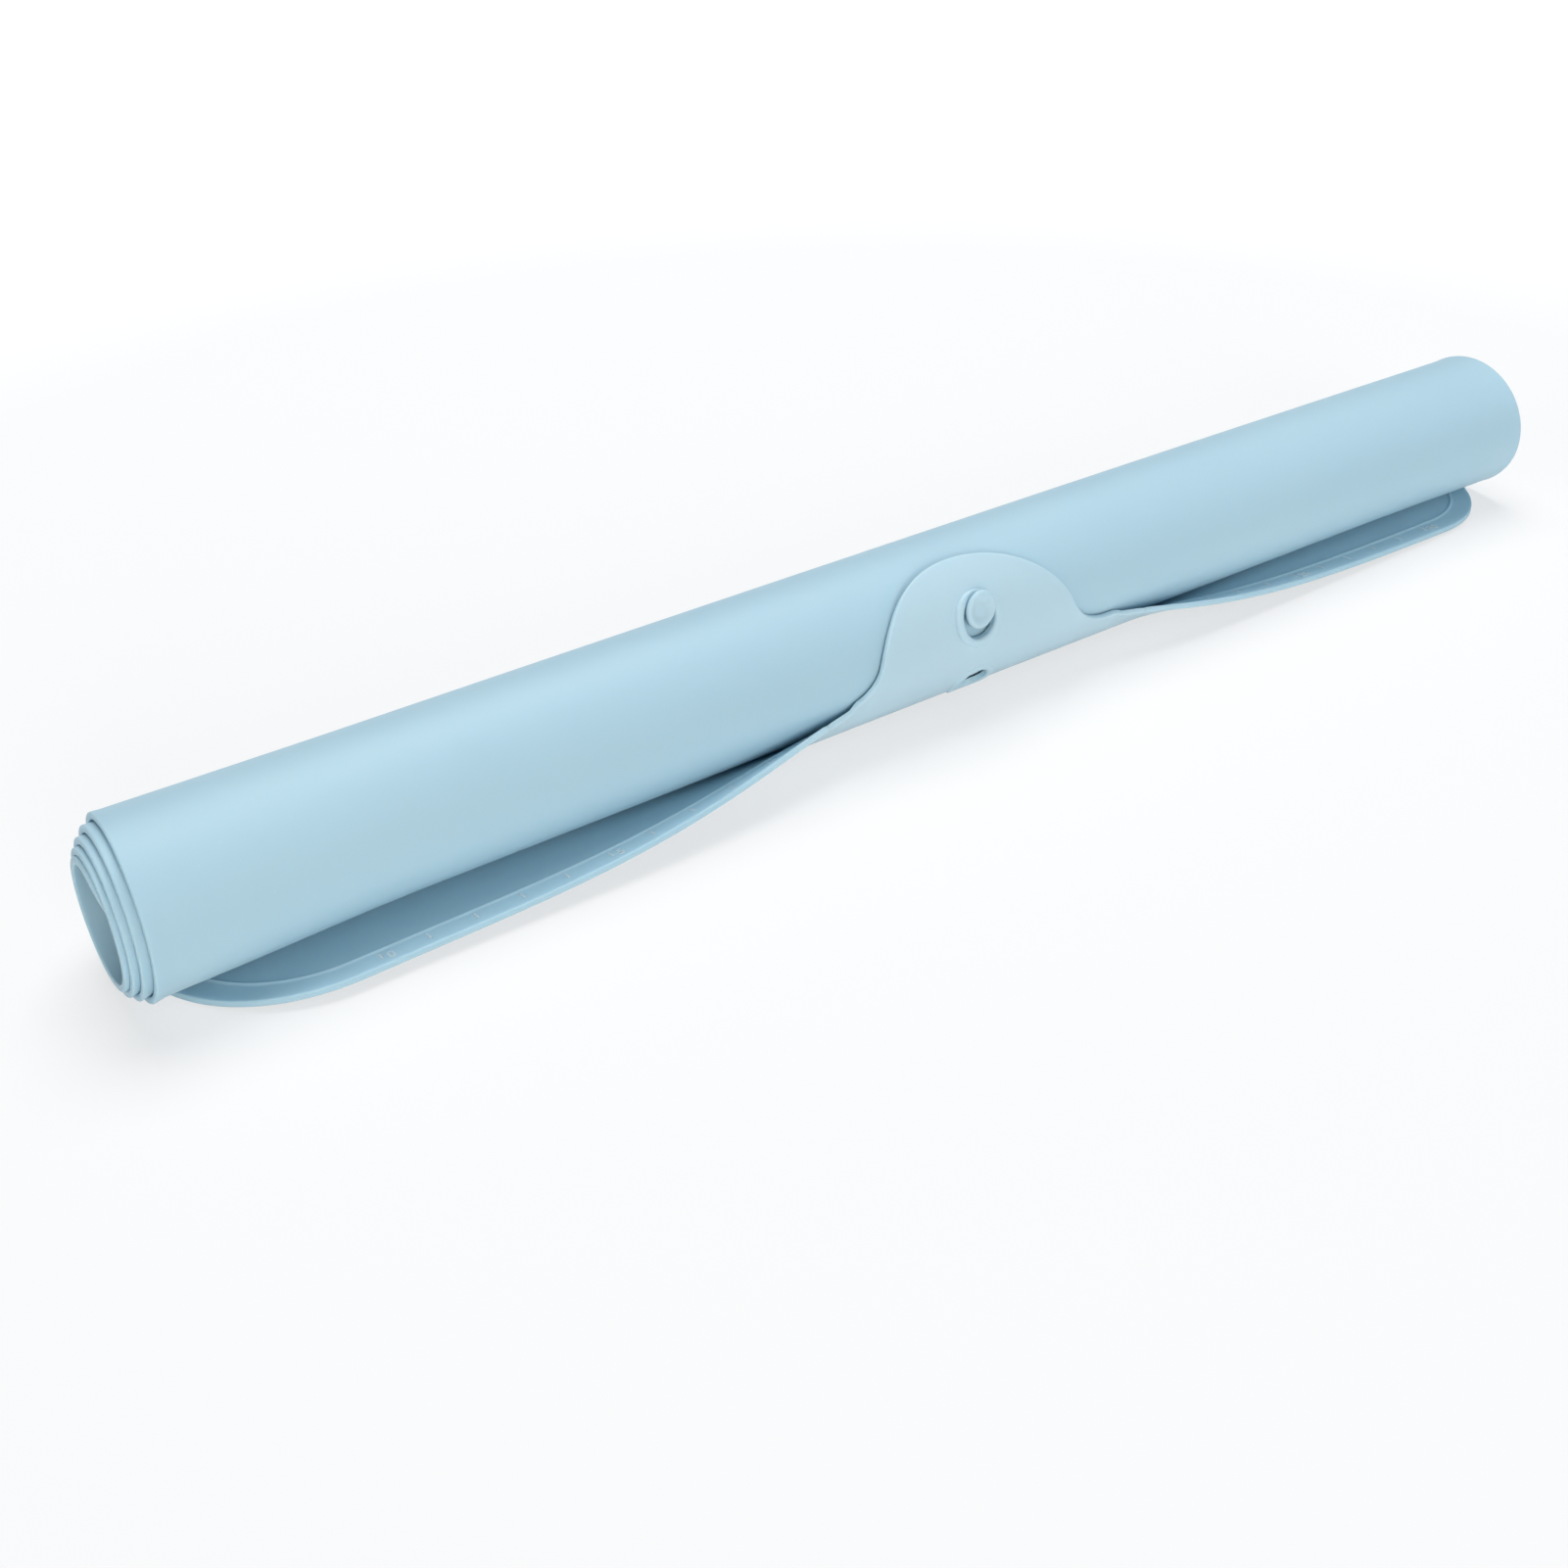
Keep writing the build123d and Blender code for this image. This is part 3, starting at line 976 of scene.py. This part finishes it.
@dataclass
class Ruler:
    """The ruler's raised marks and plain numbers on the flap's upper face."""

    flap: Flap
    spacing: float = 10 * MM
    count: int = 31
    offset: float = -0.8 * MM
    mark_width: float = 0.55 * MM
    mark_length: float = 2.3 * MM
    height: float = 0.22 * MM
    mark_inset: float = 3.5 * MM
    mark_steps: int = 10
    digit_height: float = 2.3 * MM
    digit_inset: float = 2.6 * MM
    digit_shift: float = 1.0 * MM
    digit_bevel: float = 0.04 * MM
    digit_swell: float = 0.02 * MM
    capital_share: float = 0.7
    number_every: int = 5
    middle_half_width: float = 46 * MM

    def mark_x(self, number: int) -> float:
        """Place of a mark along the roll."""
        return (number - (self.count - 1) / 2) * self.spacing + self.offset

    def marks(self, numbers: Iterable[int]) -> tuple[list[Point3], list[list[int]]]:
        """Builds rounded bars, one for each centimetre.

        Args:
            numbers: the centimetres that get a mark.

        Returns:
            The places of the points, and the faces.
        """
        vertices: list[Point3] = []
        faces: list[list[int]] = []
        steps = self.mark_steps
        profile = [(-0.5, -0.3), (-0.42, 0.55), (-0.2, 1.0), (0.2, 1.0), (0.42, 0.55), (0.5, -0.3)]
        for number in numbers:
            first = len(vertices)
            middle = -self.mark_inset
            for i in range(steps + 1):
                share = i / steps
                end = min(1.0, 6 * min(share, 1 - share) + 0.25)
                past = middle + (share - 0.5) * self.mark_length
                for across, up in profile:
                    x = self.mark_x(number) + across * self.mark_width
                    depth = self.flap.sheet.half + up * self.height * (end if up > 0 else 1)
                    vertices.append(self.flap.place(x, past, depth))
            wide = len(profile)
            for i in range(steps):
                for j in range(wide):
                    a, b = first + i * wide + j, first + i * wide + (j + 1) % wide
                    faces.append([a, b, b + wide, a + wide])
            faces.append([first + j for j in reversed(range(wide))])
            faces.append([first + steps * wide + j for j in range(wide)])
        return vertices, faces

    def digits(self, number: int) -> tuple[list[Point3], list[list[int]]]:
        """Builds the raised digits of one number, read from the front.

        Args:
            number: the centimetre to write.

        Returns:
            The places of the points, and the faces.
        """
        curve = bpy.data.curves.new("digits", "FONT")
        curve.body = str(number)
        curve.size = self.digit_height / self.capital_share
        curve.extrude = self.height / 2
        curve.bevel_depth = self.digit_bevel
        curve.offset = self.digit_swell
        curve.resolution_u = 3
        holder = bpy.data.objects.new("digits", curve)
        bpy.context.scene.collection.objects.link(holder)
        bpy.context.view_layer.update()
        mesh = bpy.data.meshes.new_from_object(holder)
        past = self.digit_height / 2 - self.digit_inset
        x = self.mark_x(number) + self.digit_shift
        vertices = [self.flap.place(x + v.co.x, past - v.co.y,
                                    self.flap.sheet.half + 0.2 * self.height + v.co.z)
                    for v in mesh.vertices]
        faces = [list(p.vertices) for p in mesh.polygons]
        bpy.data.objects.remove(holder)
        bpy.data.curves.remove(curve)
        bpy.data.meshes.remove(mesh)
        return vertices, faces

    def build(self, side: Side) -> bpy.types.Object:
        """Builds one half of the ruler, which lies on its wing.

        Args:
            side: the end of the roll that it lies at.

        Returns:
            The half's marks and digits as one piece.
        """
        numbers = [n for n in range(self.count)
                   if self.mark_x(n) * side.value > self.middle_half_width]
        vertices, faces = self.marks(numbers)
        for number in (n for n in numbers if n % self.number_every == 0):
            more, polygons = self.digits(number)
            first = len(vertices)
            vertices += more
            faces += [[first + i for i in polygon] for polygon in polygons]
        piece = make_object(f"{side.name.lower()}_ruler", vertices, faces)
        tidy_normals(piece)
        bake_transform(piece)
        return piece


def linear(hex_colour: str) -> tuple[float, float, float, float]:
    """Turns an sRGB hex colour into linear red, green, blue and alpha.

    Args:
        hex_colour: a hash sign and six hex digits.

    Returns:
        The four levels from 0 to 1.
    """
    parts = [int(hex_colour[i:i + 2], 16) / 255 for i in (1, 3, 5)]
    bent = [c / 12.92 if c <= 0.04045 else ((c + 0.055) / 1.055) ** 2.4 for c in parts]
    return (bent[0], bent[1], bent[2], 1.0)


def add_node(tree: bpy.types.NodeTree, kind: str, settings: dict | None = None,
             links: dict | None = None) -> bpy.types.Node:
    """Adds a node with its settings and links.

    Args:
        tree: the node tree.
        kind: the node's type name.
        settings: attributes by name, or socket values by a name with a leading colon.
        links: output sockets to link, by the name or number of the input socket.

    Returns:
        The new node.
    """
    node = tree.nodes.new(kind)
    for name, value in (settings or {}).items():
        if name.startswith(":"):
            node.inputs[name[1:]].default_value = value
        else:
            setattr(node, name, value)
    for name, output in (links or {}).items():
        tree.links.new(output, node.inputs[name])
    return node


@dataclass(frozen=True)
class MouldedSilicone:
    """Platinum-cured silicone rubber, compression moulded in a satin tool.

    The rubber lets a little light in, so thin edges glow paler than the broad faces, and the
    satin tool leaves a soft sheen without a sharp highlight. The eye gets a pale blue that is
    faintly cloudy over the hand's width, the tool's fine grain, and a few specks of dust. Where
    there is a tongue colour, the middle is painted paler: painted light, where the tongue and
    stud catch more light than the roll's ends.
    """

    name: str
    colour: str = "#b9d9e6"
    shade: str = "#b2d3e2"
    dust: str = "#d6e6ec"
    tongue_colour: str = ""
    tongue_half_width: float = 38 * MM
    tongue_fade: float = 40 * MM
    roughness: float = 0.52
    grain_mm: float = 0.35
    cloud_mm: float = 60.0
    grain_depth: float = 0.05 * MM
    mote_mm: float = 5.0
    light_reach: float = 1.6 * MM

    def make(self) -> bpy.types.Material:
        """Builds the node material.

        Returns:
            The material.
        """
        material = bpy.data.materials.new(self.name)
        material.use_nodes = True
        tree = material.node_tree
        tree.nodes.clear()
        place = add_node(tree, "ShaderNodeTexCoord").outputs["Object"]
        cloud = add_node(tree, "ShaderNodeTexNoise",
                         {":Scale": 1 / (self.cloud_mm * MM), ":Detail": 2.0}, {"Vector": place})
        mote = add_node(tree, "ShaderNodeTexVoronoi",
                        {":Scale": 1 / (self.mote_mm * MM), ":Randomness": 1.0}, {"Vector": place})
        fleck = add_node(tree, "ShaderNodeMapRange",
                         {":From Min": 0.02, ":From Max": 0.045, ":To Min": 0.35, ":To Max": 0.0},
                         {"Value": mote.outputs["Distance"]})
        tint = add_node(tree, "ShaderNodeMix",
                        {"data_type": "RGBA"}, {"Factor": cloud.outputs["Fac"]})
        tint.inputs["A"].default_value = linear(self.shade)
        tint.inputs["B"].default_value = linear(self.colour)
        tone = tint
        # Painted light: the middle along x, round the tongue and stud, is painted paler where they
        # catch more light.
        if self.tongue_colour:
            across = add_node(tree, "ShaderNodeSeparateXYZ", None, {"Vector": place})
            away = add_node(tree, "ShaderNodeMath", {"operation": "ABSOLUTE"},
                            {0: across.outputs["X"]})
            near = add_node(tree, "ShaderNodeMapRange",
                            {"interpolation_type": "SMOOTHSTEP",
                             ":From Min": self.tongue_half_width,
                             ":From Max": self.tongue_half_width + self.tongue_fade,
                             ":To Min": 1.0, ":To Max": 0.0}, {"Value": away.outputs[0]})
            tone = add_node(tree, "ShaderNodeMix", {"data_type": "RGBA"},
                            {"Factor": near.outputs["Result"]})
            tree.links.new(tint.outputs["Result"], tone.inputs["A"])
            tone.inputs["B"].default_value = linear(self.tongue_colour)
        dusty = add_node(tree, "ShaderNodeMix", {"data_type": "RGBA"},
                         {"Factor": fleck.outputs["Result"]})
        tree.links.new(tone.outputs["Result"], dusty.inputs["A"])
        dusty.inputs["B"].default_value = linear(self.dust)
        grain = add_node(tree, "ShaderNodeTexNoise",
                         {":Scale": 1 / (self.grain_mm * MM), ":Detail": 3.0}, {"Vector": place})
        bump = add_node(tree, "ShaderNodeBump", {":Strength": 0.12, ":Distance": self.grain_depth},
                        {"Height": grain.outputs["Fac"]})
        sheen = add_node(tree, "ShaderNodeMapRange",
                         {":To Min": self.roughness - 0.04, ":To Max": self.roughness + 0.05},
                         {"Value": cloud.outputs["Fac"]})
        surface = add_node(tree, "ShaderNodeBsdfPrincipled",
                           {":IOR": 1.41, ":Subsurface Weight": 0.35,
                            ":Subsurface Scale": self.light_reach,
                            ":Subsurface Radius": (0.7, 0.9, 1.0)},
                           {"Base Color": dusty.outputs["Result"],
                            "Roughness": sheen.outputs["Result"],
                            "Normal": bump.outputs["Normal"]})
        add_node(tree, "ShaderNodeOutputMaterial", None, {"Surface": surface.outputs["BSDF"]})
        return material


@dataclass
class Studio:
    """Floor, lights, world and the camera at the photograph's angle."""

    lens_mm: float = 44.58
    sensor_mm: float = 36.0
    camera_place: Point3 = (-0.25264, -0.29307, 0.22978)
    camera_height_degrees: float = 33.94
    camera_turn_degrees: float = 35.484
    floor_half_width: float = 6.0
    board_grey: float = 0.8
    shown_grey: float = 0.36
    shown_glow: float = 0.62
    glow_near: float = 0.3
    glow_far: float = 0.8
    world_light: float = 0.15
    world_tint: str = "#dceeff"

    def camera(self) -> None:
        """Places the camera."""
        data = bpy.data.cameras.new("camera")
        data.lens = self.lens_mm
        data.sensor_width = self.sensor_mm
        data.sensor_fit = "HORIZONTAL"
        camera = bpy.data.objects.new("camera", data)
        camera.location = self.camera_place
        camera.rotation_euler = (math.radians(90 - self.camera_height_degrees), 0,
                                 -math.radians(self.camera_turn_degrees))
        bpy.context.scene.collection.objects.link(camera)
        bpy.context.scene.camera = camera

    def lamp(self, name: str, place: Point3, size: float, power: float, colour: str) -> None:
        """Adds a soft square lamp that faces the mat.

        Args:
            name: the lamp's name.
            place: where it hangs, in metres.
            size: side of the square.
            power: power in watts.
            colour: sRGB hex colour.
        """
        data = bpy.data.lights.new(name, "AREA")
        data.size = size
        data.energy = power
        data.color = linear(colour)[:3]
        lamp = bpy.data.objects.new(name, data)
        lamp.location = place
        lamp.rotation_euler = (-Vector(place)).to_track_quat("-Z", "Y").to_euler()
        bpy.context.scene.collection.objects.link(lamp)

    def floor(self) -> None:
        """Lays a plain pale floor that keeps the mat's soft shadow.

        Light bounces off it as off matt white board. The camera and glossy rays see it nearly
        white, with the shadow, and plain white further away.
        """
        size = self.floor_half_width
        corners = [(-size, -size, 0), (size, -size, 0), (size, size, 0), (-size, size, 0)]
        floor = make_object("floor", corners, [[0, 1, 2, 3]])
        material = bpy.data.materials.new("matt_white_board")
        material.use_nodes = True
        tree = material.node_tree
        tree.nodes.clear()
        rays = add_node(tree, "ShaderNodeLightPath")
        seen = add_node(tree, "ShaderNodeMath", {"operation": "MAXIMUM"})
        tree.links.new(rays.outputs["Is Camera Ray"], seen.inputs[0])
        tree.links.new(rays.outputs["Is Glossy Ray"], seen.inputs[1])
        board, shown_board = (add_node(tree, "ShaderNodeBsdfDiffuse", {":Color": (*[grey] * 3, 1)})
                              for grey in (self.board_grey, self.shown_grey))
        place = add_node(tree, "ShaderNodeTexCoord").outputs["Object"]
        away = add_node(tree, "ShaderNodeVectorMath", {"operation": "LENGTH"}, {"Vector": place})
        level = add_node(tree, "ShaderNodeMapRange",
                         {":From Min": self.glow_near, ":From Max": self.glow_far,
                          ":To Min": self.shown_glow, ":To Max": 1.0},
                         {"Value": away.outputs["Value"]})
        shown = add_node(tree, "ShaderNodeMath", {"operation": "MULTIPLY"})
        tree.links.new(seen.outputs[0], shown.inputs[0])
        tree.links.new(level.outputs["Result"], shown.inputs[1])
        glow = add_node(tree, "ShaderNodeEmission", {":Color": (1, 1, 1, 1)},
                        {"Strength": shown.outputs[0]})
        pale = add_node(tree, "ShaderNodeAddShader")
        tree.links.new(shown_board.outputs[0], pale.inputs[0])
        tree.links.new(glow.outputs[0], pale.inputs[1])
        mix = add_node(tree, "ShaderNodeMixShader", None, {0: seen.outputs[0]})
        tree.links.new(board.outputs[0], mix.inputs[1])
        tree.links.new(pale.outputs[0], mix.inputs[2])
        add_node(tree, "ShaderNodeOutputMaterial", None, {"Surface": mix.outputs[0]})
        floor.data.materials.append(material)

    def world(self) -> None:
        """Makes a pale world: plain white where the camera sees it, softer as a light."""
        world = bpy.data.worlds.new("studio")
        bpy.context.scene.world = world
        world.use_nodes = True
        tree = world.node_tree
        tree.nodes.clear()
        rays = add_node(tree, "ShaderNodeLightPath")
        strength = add_node(tree, "ShaderNodeMapRange",
                            {":To Min": self.world_light, ":To Max": 1.0},
                            {"Value": rays.outputs["Is Camera Ray"]})
        tint = add_node(tree, "ShaderNodeMix", {"data_type": "RGBA"},
                        {"Factor": rays.outputs["Is Camera Ray"]})
        tint.inputs["A"].default_value = linear(self.world_tint)
        tint.inputs["B"].default_value = (1, 1, 1, 1)
        sky = add_node(tree, "ShaderNodeBackground", None,
                       {"Color": tint.outputs["Result"], "Strength": strength.outputs["Result"]})
        add_node(tree, "ShaderNodeOutputWorld", None, {"Surface": sky.outputs[0]})

    def build(self) -> None:
        """Sets up the whole studio."""
        self.camera()
        self.floor()
        self.world()
        self.lamp("front", (-0.4, -1.4, 0.42), 0.7, 10.6, "#fffaf4")
        self.lamp("top", (0.2, 0.42, 1.3), 1.0, 15.5, "#ffffff")
        self.lamp("left", (-1.5, -0.1, 0.6), 0.8, 4.0, "#ffffff")
        self.lamp("right", (1.2, -0.9, 0.6), 0.7, 3.0, "#cfe6ff")
        bpy.context.scene.view_settings.view_transform = "Standard"


def main() -> None:
    """Builds the mat's pieces in order and sets the scene."""
    logging.basicConfig(level=logging.INFO, format="%(name)s: %(message)s")
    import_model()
    sheet = MatSheet()
    flap = Flap(sheet)
    winding = Winding(sheet, flap)
    closing = ClosingFlap(flap)
    ruler = Ruler(flap)
    # The broad pale blue of the wound laps.
    silicone = MouldedSilicone("moulded_satin_silicone").make()
    # The ruler's faces, painted whitish: a painted highlight where they catch the light.
    raised = MouldedSilicone("raised_silicone_painted_highlight", colour="#d3e7ef", shade="#cce2ec").make()
    # The last lap: as the laps towards its ends, with painted light: painted a little paler round
    # the tongue and stud, where they catch more light.
    flap_painted_light = MouldedSilicone("flap_silicone_painted_light", tongue_colour="#c1dde9").make()
    finished = [
        (RolledSheet(winding).build(), silicone),
        (closing.wing(Side.LEFT), flap_painted_light),
        (closing.wing(Side.RIGHT), flap_painted_light),
        (closing.tongue(), flap_painted_light),
        (ClosingStud(closing).build(), flap_painted_light),
        (ruler.build(Side.LEFT), raised),
        (ruler.build(Side.RIGHT), raised),
    ]
    for piece, finish in finished:
        piece.data.materials.clear()
        piece.data.materials.append(finish)
        LOG.info("%s: %d faces", piece.name, len(piece.data.polygons))
    Studio().build()


if __name__ == "__main__":
    main()
